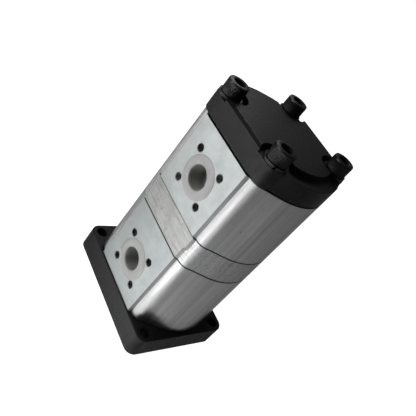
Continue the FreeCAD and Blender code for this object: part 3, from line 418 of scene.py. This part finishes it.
# Turned aluminium: paler, with a softer shine.
blockAluminium = makePlain("turned aluminium block", {
    "dark": "#aeb1b3", "light": "#c0c3c5", "grain": 0.5, "gloss": 0.4, "metallic": 1.0})
# Sintered bronze: brown yellow, its shine broken by the pores.
bushBronze = makePlain(
    "sintered bronze bush",
    {"dark": "#8d6b3c", "light": "#a9854f", "grain": 0.3, "gloss": 0.4, "metallic": 1.0})
# Nitrile rubber: dull black.
sealRubber = makePlain("nitrile rubber", {
    "dark": "#131313", "light": "#1c1c1c", "grain": 0.3, "gloss": 0.6, "metallic": 0.0})


# Moulded polyethylene plugs: milky grey. Deeper in the cup the colour darkens, partly the dark bore seen
# through the thin wall and partly painted shade of the hollow.

plugFinish = {"rimDark": "#848483", "rimLight": "#8d8d8c", "deep": "#757573", "deepReach": 41.2,
              "rimReach": 43.4, "swell": 3, "swellHeight": 0.05, "swellStrength": 0.05, "gloss": 0.5}


def makePlug(name, values):
    material, tree, place = startMaterial(name)
    spot = addNode(tree, "ShaderNodeSeparateXYZ", {"Vector": place})
    reach = addNode(tree, "ShaderNodeMath", {0: spot.outputs["X"]}, operation="ABSOLUTE")
    depth = addNode(tree, "ShaderNodeMapRange", {
        "Value": reach.outputs[0], "From Min": values["deepReach"] * millimetre,
        "From Max": values["rimReach"] * millimetre})
    noise = addNode(tree, "ShaderNodeTexNoise", {
        "Vector": place, "Scale": perMillimetre(values["swell"]), "Detail": 2.0})
    rim = addNode(tree, "ShaderNodeMix", {
        0: noise.outputs["Fac"], 6: linear(values["rimDark"]),
        7: linear(values["rimLight"])}, data_type="RGBA")
    colour = addNode(tree, "ShaderNodeMix", {
        0: depth.outputs[0], 6: linear(values["deep"]), 7: rim.outputs[2]}, data_type="RGBA")
    bump = addNode(tree, "ShaderNodeBump", {
        "Height": noise.outputs["Fac"], "Strength": values["swellStrength"],
        "Distance": values["swellHeight"] * millimetre})
    endMaterial(tree, **{
        "Base Color": colour.outputs[2], "Roughness": values["gloss"], "Normal": bump.outputs[0]})
    return material


frontPlugPlastic = makePlug("front polyethylene plug", plugFinish)
rearPlugPlastic = makePlug(
    "rear polyethylene plug",
    {**plugFinish, "rimDark": "#8f8e8e", "rimLight": "#999898", "deep": "#83837f"})
print("materials made")


# CAD nodes keep their shape and get their finish.

nodeFinish = {
    "front_flange": flangeCasting, "end_cover": coverCasting, "pump_body_front": frontHousing,
    "pump_body_rear": rearHousing, "middle_plate": plateFinish, "drive_shaft_front": gearSteel,
    "coupling_sleeve": gearSteel, "dowel_pins": gearSteel, "seal_circlip": springSteel,
    "lock_washers": springSteel,
}
for name, node in nodes.items():
    material = nodeFinish.get(name)
    if material is None:
        if "gear" in name:
            material = gearSteel
        elif name.startswith("bearing_block"):
            material = blockAluminium
        elif name.startswith("bush"):
            material = bushBronze
        elif "plug" in name:
            material = frontPlugPlastic if name.endswith("front") else rearPlugPlastic
        elif "seal" in name:
            material = sealRubber
        else:
            material = blackOxide
    node.data.materials.clear()
    node.data.materials.append(material)
print("frame dressed")


# Socket head cap screws, with a straight knurl and a hexagon socket.

screwValues = {
    "headRadius": 8.0, "headHeight": 10.0, "shankRadius": 4.95, "tipChamfer": 0.7, "neckFillet": 0.2,
    "footChamfer": 0.4, "topChamfer": 0.9, "hexAcross": 8.0, "hexDepth": 5.2, "mouthLow": 2.0,
    "mouthHigh": 5.4, "mouthDepth": 3.4, "mouthSunk": 1.3, "mouthSides": 48, "knurlTeeth": 40,
    "knurlDepth": 0.32, "knurlFoot": 1.0, "knurlTop": 8.6, "knurlRun": 0.2, "knurlDrop": 0.08,
    "crownDrop": 0.14, "slack": 0.1, "smoothAngle": 25,
}
screwLow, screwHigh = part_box("through_screws")
screwSeat = screwHigh.z - screwValues["headHeight"] * millimetre


def makeScrew():
    v = inMetres(screwValues)
    teeth = screwValues["knurlTeeth"]
    head, shank, top, bevel = v["headRadius"], v["shankRadius"], v["headHeight"], v["topChamfer"]
    length = screwSeat - screwLow.z
    piece = turned("cap_screw_1", [
        (shank - v["tipChamfer"], -length), (shank, -length + v["tipChamfer"]),
        (shank, -v["neckFillet"]), (shank + v["neckFillet"], 0),
        (head - v["footChamfer"], 0), (head, v["footChamfer"]),
        (head, v["knurlFoot"]), (head, v["knurlTop"]),
        (head - v["knurlDrop"], v["knurlTop"] + v["knurlRun"]), (head - v["crownDrop"], top - bevel * 0.75),
        (head - bevel * 0.35, top - bevel * 0.25), (head - bevel, top),
    ], teeth * 2)
    closeEnds(piece)
    step = math.pi / teeth

    def inGroove(vertex):
        inBand = v["knurlFoot"] - v["slack"] < vertex.co.z < v["knurlTop"] + v["slack"]
        place = round(math.atan2(vertex.co.y, vertex.co.x) / step)
        return inBand and vertex.co.xy.length > head - v["slack"] and place % 2 == 0

    choose(piece, "VERT", inGroove)
    deeper = 1 - v["knurlDepth"] / head
    bpy.ops.transform.resize(value=(deeper, deeper, 1), center_override=(0, 0, 0))
    closePiece(screwValues["smoothAngle"])
    bpy.ops.mesh.primitive_cylinder_add(
        vertices=6, radius=v["hexAcross"] / math.sqrt(3), depth=v["hexDepth"] * 2, location=(0, 0, top))
    cutWith(piece, bpy.context.active_object)
    bpy.ops.mesh.primitive_cone_add(
        vertices=screwValues["mouthSides"], radius1=v["mouthLow"], radius2=v["mouthHigh"],
        depth=v["mouthDepth"], location=(0, 0, top - v["mouthSunk"]))
    cutWith(piece, bpy.context.active_object)
    return piece


firstScrew = makeScrew()
screwInset = Vector((screwHigh.x, screwHigh.y, 0))
screwInset -= Vector((1, 1, 0)) * screwValues["headRadius"] * millimetre
screwMiddle = (screwLow.y + screwHigh.y) / 2
screwReach = screwInset.y - screwMiddle
screwSpots = [Vector((sx * screwInset.x, screwMiddle + sy * screwReach, screwSeat))
              for sx in (1, -1) for sy in (1, -1)]
for number, spot in enumerate(screwSpots, 1):
    screw = copyPiece(firstScrew, f"through_screw_{number}", Matrix.Translation(spot))
    dress(screw, blackOxide, "housing", "black_oxide_steel", "through_screws")
bpy.data.objects.remove(firstScrew)
print("screws made")


# Spring lock washers: a square section wound once, with the slanted cut of a real one.

washerValues = {"outer": 9.05, "inner": 5.2, "thickness": 2.2, "gap": 1.4, "slant": 9, "edge": 0.25,
                "steps": 72, "smoothAngle": 30, "edgeAngle": 50, "bevelledAngle": 40,
                "turns": (35, 160, 250, 310)}
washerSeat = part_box("lock_washers")[0].z


def makeWasher():
    v = washerValues
    middle = (v["outer"] + v["inner"]) / 2 * millimetre
    width, thickness = (v["outer"] - v["inner"]) * millimetre, v["thickness"] * millimetre
    halfGap = v["gap"] * millimetre / middle / 2
    bpy.ops.mesh.primitive_plane_add(
        size=1, location=(middle, 0, thickness / 2), rotation=(math.pi / 2, 0, 0))
    piece = bpy.context.active_object
    piece.name = piece.data.name = "lock_washer_1"
    piece.scale = (width, thickness, 1)
    bpy.ops.object.transform_apply(location=True, rotation=True, scale=True)
    openPiece(piece)
    bpy.ops.mesh.select_all(action="SELECT")
    bpy.ops.transform.rotate(value=-halfGap, orient_axis="Z", center_override=(0, 0, 0))
    bpy.ops.mesh.spin(
        steps=v["steps"], angle=2 * math.pi - 2 * halfGap, center=(0, 0, 0), axis=(0, 0, 1), dupli=False)
    closePiece(v["smoothAngle"])

    def atCut(face):
        upright = abs(face.normal.z) < 0.1
        onRing = abs(face.center.xy.length - middle) < 0.1 * millimetre
        return upright and onRing and face.center.x > 0 and abs(face.center.y) < 1 * millimetre

    ends = [face for face in piece.data.polygons if atCut(face)]
    for end in ends:
        for index in end.vertices:
            point = piece.data.vertices[index]
            lean = math.radians(v["slant"]) * (point.co.z / thickness - 0.5)
            point.co = Matrix.Rotation(lean, 3, "Z") @ point.co
    finishModifier(
        piece, "BEVEL", width=v["edge"] * millimetre, segments=2, limit_method="ANGLE",
        angle_limit=math.radians(v["edgeAngle"]))
    bpy.ops.object.shade_smooth_by_angle(angle=math.radians(v["bevelledAngle"]))
    return piece


firstWasher = makeWasher()
for number, (spot, turn) in enumerate(zip(screwSpots, washerValues["turns"]), 1):
    seat = Matrix.Translation((spot.x, spot.y, washerSeat))
    place = seat @ Matrix.Rotation(math.radians(turn), 4, "Z")
    washer = copyPiece(firstWasher, f"lock_washer_set_{number}", place)
    dress(washer, springSteel, "housing", "spring_steel", "lock_washers")
bpy.data.objects.remove(firstWasher)
print("washers made")


# Moulded plugs in the four ports: a thin cup with a rolled mouth and a beaded rim.

plugValues = {"wall": 1.0, "depth": 14.0, "rim": 6.0, "fit": 0.1, "sides": 96, "smoothAngle": 35}
portValues = {"suction": {"bore": 20.0, "reach": 20.0, "side": 1},
              "pressure": {"bore": 15.0, "reach": 17.5, "side": -1}}


def makePlugCup(bore):
    # The profile runs from the foot up the wall to the rim, over it, down the inside and to the gate.
    v = inMetres(plugValues)
    cup = bore / 2 * millimetre - v["fit"]
    mouth = cup - v["wall"]
    rim = bore / 2 * millimetre + v["rim"]
    foot, floorLevel = -v["depth"], v["wall"] - v["depth"]
    m = millimetre
    piece = turned("plug_cup", [
        (cup - 0.9 * m, foot), (cup - 0.35 * m, foot + 0.2 * m), (cup - 0.05 * m, foot + 0.7 * m),
        (cup, -0.3 * m), (cup + 0.1 * m, 0),
        (rim - 0.05 * m, 0), (rim, 0.06 * m), (rim - 0.08 * m, 0.14 * m), (rim - 0.5 * m, 0.34 * m),
        (rim - 1.1 * m, 0.56 * m), (rim - 1.8 * m, 0.78 * m), (rim - 2.5 * m, 0.93 * m),
        (rim - 3.2 * m, 1 * m),
        (mouth + 0.95 * m, 0.97 * m), (mouth + 0.5 * m, 0.85 * m), (mouth + 0.16 * m, 0.5 * m), (mouth, 0),
        (mouth - 0.25 * m, floorLevel + 0.9 * m), (mouth - 0.55 * m, floorLevel + 0.25 * m),
        (mouth - 1.2 * m, floorLevel),
        (2.2 * m, floorLevel + 0.1 * m), (1.7 * m, floorLevel + 0.5 * m), (0.8 * m, floorLevel + 0.6 * m),
    ], plugValues["sides"])
    closeEnds(piece)
    closePiece(plugValues["smoothAngle"])
    return piece


# Six millimetre tapped holes round each port: the thread's own ridge, wound as a helix.

threadValues = {"pitch": 1.0, "turns": 12, "steps": 20, "ridge": 0.58, "outer": 3.0, "start": 0.7,
                "startEdge": 1.2, "startHeight": 0.9, "smoothAngle": 20}


def makeThread():
    v = threadValues
    bpy.ops.mesh.primitive_circle_add(
        vertices=3, radius=v["ridge"] * millimetre, location=(v["outer"] * millimetre, 0, 0),
        rotation=(math.pi / 2, math.pi / 2, 0))
    piece = bpy.context.active_object
    piece.name = piece.data.name = "thread_1"
    bpy.ops.object.transform_apply(location=True, rotation=True, scale=True)
    finishModifier(
        piece, "SCREW", angle=2 * math.pi, screw_offset=v["pitch"] * millimetre, iterations=v["turns"],
        steps=v["steps"], render_steps=v["steps"], axis="Z")

    def atStart(edge):
        short = edge.calc_length() < v["startEdge"] * millimetre
        low = all(point.co.z < v["startHeight"] * millimetre for point in edge.verts)
        return edge.is_boundary and short and low

    openPiece(piece, "EDGE")
    choose(piece, "EDGE", atStart)
    bpy.ops.mesh.edge_face_add()
    choose(piece, "EDGE", lambda edge: edge.is_boundary)
    bpy.ops.mesh.edge_face_add()
    bpy.ops.mesh.select_all(action="SELECT")
    bpy.ops.transform.translate(value=(0, 0, -(v["turns"] * v["pitch"] + v["start"]) * millimetre))
    closePiece(v["smoothAngle"])
    return piece


firstThread = makeThread()
stages = (("front", frontPlugPlastic, frontHousing), ("rear", rearPlugPlastic, rearHousing))
for kind, port in portValues.items():
    firstPlug = makePlugCup(port["bore"])
    outwards = Vector((port["side"], 0, 0)).to_track_quat("Z", "Y").to_matrix().to_4x4()
    for stage, plastic, metal in stages:
        low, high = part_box(f"{kind}_plug_{stage}")
        face = port["side"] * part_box(f"pump_body_{stage}")[1].x
        turn = Matrix.Translation((face, (low.y + high.y) / 2, (low.z + high.z) / 2)) @ outwards
        plug = copyPiece(firstPlug, f"{kind}_port_plug_{stage}", turn)
        dress(plug, plastic, "housing", "plug_plastic", f"{kind}_plug_{stage}")
        for corner in range(4):
            around = Matrix.Rotation(math.radians(45 + 90 * corner), 4, "Z")
            away = around @ Vector((port["reach"] * millimetre, 0, 0))
            thread = copyPiece(
                firstThread, f"{kind}_thread_{stage}_{corner + 1}", turn @ Matrix.Translation(away))
            dress(thread, metal, "housing", "aluminium_housing")
    bpy.data.objects.remove(firstPlug)
bpy.data.objects.remove(firstThread)
print("plugs and threads made")


# Housing parts: copies of the CAD shapes with the edges that moulding, paint or deburring leave.

housingParts = {
    "end_cover": {"edge": 1.0, "segments": 4, "material": coverCasting, "slot": "black_casting"},
    "front_flange": {"edge": 0.5, "segments": 3, "material": flangeCasting, "slot": "black_casting"},
    "pump_body_front": {"edge": 0.22, "segments": 2, "material": frontHousing, "slot": "aluminium_housing"},
    "pump_body_rear": {"edge": 0.22, "segments": 2, "material": rearHousing, "slot": "aluminium_housing"},
    "middle_plate": {"edge": 0.18, "segments": 2, "material": plateFinish, "slot": "aluminium_housing"},
}
copyValues = {"doubles": 0.005, "flatAngle": 0.4, "edgeAngle": 33}
coverBlend = {"padBack": 3.3, "padCorner": ((42.1, 42.9), (27.2, 28.1)),
              "lugOut": 0.26, "lugStart": ((41.1, 41.75), (28.2, 28.9))}
outlineValues = {
    "lugCentre": (32.5, 30.5), "lugRadius": 8.5, "endRadius": 45, "deepest": 1.5, "eased": 0.85}


def copyNode(node):
    piece = bpy.data.objects.new(node + "_finished", nodes[node].data.copy())
    bpy.context.scene.collection.objects.link(piece)
    openPiece(piece, "VERT")
    bpy.ops.mesh.select_all(action="SELECT")
    bpy.ops.mesh.remove_doubles(threshold=copyValues["doubles"] * millimetre)
    bpy.ops.mesh.dissolve_limited(angle_limit=math.radians(copyValues["flatAngle"]))
    return piece


def inCorner(vertex, sx, sy, window):
    (nearX, farX), (nearY, farY) = window
    x, y = vertex.co.x * sx / millimetre, (vertex.co.y - middleY) * sy / millimetre
    return nearX < x < farX and nearY < y < farY


def blendCoverCorners(piece):
    # The cast cover runs from its flat into the round lug without the body's sharp step.
    v = coverBlend
    for sx in (1, -1):
        for sy in (1, -1):
            choose(piece, "VERT", lambda vertex: inCorner(vertex, sx, sy, v["padCorner"]))
            bpy.ops.transform.translate(value=(0, -sy * v["padBack"] * millimetre, 0))
            choose(piece, "VERT", lambda vertex: inCorner(vertex, sx, sy, v["lugStart"]))
            bpy.ops.transform.translate(value=(sx * v["lugOut"] * millimetre, 0, 0))


def easeHollows(piece, node):
    # The die rounds the hollow between a screw lug and the round end softly, so its points move most of
    # the way out to the line that touches both rounds.
    v = outlineValues
    lug = Vector(v["lugCentre"])
    end = Vector((0, (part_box(node)[1].y - middleY) / millimetre - v["endRadius"]))
    apart = end - lug
    turn = math.atan2(apart.y, apart.x) - math.acos((v["lugRadius"] - v["endRadius"]) / apart.length)
    outward = Vector((math.cos(turn), math.sin(turn)))
    along = Vector((-outward.y, outward.x))
    reach = lug.dot(outward) + v["lugRadius"]
    for vertex in piece.data.vertices:
        sideX, sideY = math.copysign(1, vertex.co.x), math.copysign(1, vertex.co.y - middleY)
        point = Vector((vertex.co.x * sideX, (vertex.co.y - middleY) * sideY)) / millimetre
        depth = reach - point.dot(outward)
        if 0 < depth < v["deepest"] and lug.dot(along) < point.dot(along) < end.dot(along):
            shift = outward * depth * v["eased"] * millimetre
            vertex.co += Vector((shift.x * sideX, shift.y * sideY, 0))


for node, values in housingParts.items():
    piece = copyNode(node)
    if node == "end_cover":
        blendCoverCorners(piece)
    bpy.ops.object.mode_set(mode="OBJECT")
    if values["slot"] == "aluminium_housing":
        easeHollows(piece, node)
    finishModifier(
        piece, "BEVEL", width=values["edge"] * millimetre, segments=values["segments"],
        limit_method="ANGLE", angle_limit=math.radians(copyValues["edgeAngle"]))
    bpy.ops.object.shade_smooth_by_angle(angle=math.radians(copyValues["edgeAngle"]))
    finishModifier(piece, "WEIGHTED_NORMAL", keep_sharp=True)
    dress(piece, values["material"], "housing", values["slot"], node)
print("housing parts made")


# Camera at the photograph's angle.

cameraValues = {"lens": 45.28, "sensor": 36, "place": (0.2835, 0.2037, 0.3123),
                "turn": ((-0.709, 0.0447, 0.7038), (0.431, -0.7624, 0.4826), (0.5581, 0.6456, 0.5213))}
cameraData = bpy.data.cameras.new("camera")
cameraData.lens = cameraValues["lens"]
cameraData.sensor_width = cameraValues["sensor"]
camera = bpy.data.objects.new("camera", cameraData)
bpy.context.scene.collection.objects.link(camera)
cameraTurn = Matrix(cameraValues["turn"]).to_quaternion().normalized().to_matrix().to_4x4()
camera.matrix_world = Matrix.Translation(cameraValues["place"]) @ cameraTurn
bpy.context.scene.camera = camera


# White studio. The camera sees the floor and the walls white, metal mirrors them dimly, and the lamps
# stay at a plain level. The fill is the least that any ray sees of the walls.

studioValues = {"floorSize": 6, "floorGap": 0.2, "floorColour": "#e6e6e6", "paperShare": 0.08,
                "fill": 0.1, "ceiling": 0.085, "wall": 0.03, "wallTop": 0.1, "ceilingStart": 0.5}


def seenShare(tree, share):
    # 1 for the camera, and the given share for what metal and glass mirror.
    path = addNode(tree, "ShaderNodeLightPath")
    mirrored = addNode(tree, "ShaderNodeMath", {
        0: path.outputs["Is Glossy Ray"], 1: path.outputs["Is Transmission Ray"]}, operation="MAXIMUM")
    shared = addNode(tree, "ShaderNodeMath", {0: mirrored.outputs[0], 1: share}, operation="MULTIPLY")
    return addNode(tree, "ShaderNodeMath", {
        0: path.outputs["Is Camera Ray"], 1: shared.outputs[0]}, operation="MAXIMUM").outputs[0]


bpy.ops.mesh.primitive_plane_add(
    size=studioValues["floorSize"], location=(0, 0, cadBox[0][2] - studioValues["floorGap"] * millimetre))
floor = bpy.context.active_object
floor.name = "floor"
floorPaper = bpy.data.materials.new("white paper floor")
floorPaper.use_nodes = True
floorTree = floorPaper.node_tree
floorTree.nodes.clear()
floorEmission = addNode(floorTree, "ShaderNodeEmission", {
    "Strength": seenShare(floorTree, studioValues["paperShare"])})
floorDiffuse = addNode(floorTree, "ShaderNodeBsdfDiffuse", {"Color": linear(studioValues["floorColour"])})
floorSum = addNode(floorTree, "ShaderNodeAddShader", {
    0: floorEmission.outputs[0], 1: floorDiffuse.outputs[0]})
addNode(floorTree, "ShaderNodeOutputMaterial", {"Surface": floorSum.outputs[0]})
floor.data.materials.append(floorPaper)

world = bpy.data.worlds.new("studio")
bpy.context.scene.world = world
world.use_nodes = True
worldTree = world.node_tree
worldTree.nodes.clear()
direction = addNode(worldTree, "ShaderNodeTexCoord")
height = addNode(worldTree, "ShaderNodeSeparateXYZ", {"Vector": direction.outputs["Generated"]})
wall = addNode(worldTree, "ShaderNodeMapRange", {
    "Value": height.outputs["Z"],
    "From Min": studioValues["wallTop"], "From Max": studioValues["ceilingStart"],
    "To Min": studioValues["wall"], "To Max": studioValues["ceiling"]})
strength = addNode(worldTree, "ShaderNodeMath", {
    0: seenShare(worldTree, wall.outputs[0]), 1: studioValues["fill"]}, operation="MAXIMUM")
background = addNode(worldTree, "ShaderNodeBackground", {
    "Color": (1, 1, 1, 1), "Strength": strength.outputs[0]})
addNode(worldTree, "ShaderNodeOutputWorld", {"Surface": background.outputs[0]})


# The two paper lamps light the floor beside the ports, which the aluminium mirrors. The back box lights
# the cover, and the port key the port side. Places, aims and sizes are in metres, and power in watts.

lampValues = {
    "paperLamp": {"place": (0.28, 0.09, 0.75), "aim": (0.28, 0.09, 0), "size": 0.14, "power": 1.1,
                  "spread": 33},
    "nearPaperLamp": {"place": (0.17, 0.05, 0.75), "aim": (0.17, 0.05, 0), "size": 0.08, "power": 0.22,
                      "spread": 20},
    "backBox": {"place": (-0.25, -0.35, 0.5), "aim": (0, -0.01, 0.19), "size": 0.2, "power": 0.46,
                "spread": 180},
    "portKey": {"place": (1.0, -0.4, 0.3), "aim": (0, 0, 0.08), "size": 0.4, "power": 8, "spread": 180},
}


def addLamp(name, values):
    lampData = bpy.data.lights.new(name, "AREA")
    lampData.shape = "DISK"
    lampData.size = values["size"]
    lampData.energy = values["power"]
    lampData.spread = math.radians(values["spread"])
    lamp = bpy.data.objects.new(name, lampData)
    bpy.context.scene.collection.objects.link(lamp)
    lamp.location = values["place"]
    aim = Vector(values["aim"]) - Vector(values["place"])
    lamp.rotation_euler = aim.to_track_quat("-Z", "Y").to_euler()
    lamp.visible_camera = False


for name, values in lampValues.items():
    addLamp(name, values)
print("studio set")

bpy.context.scene.view_settings.view_transform = "Standard"
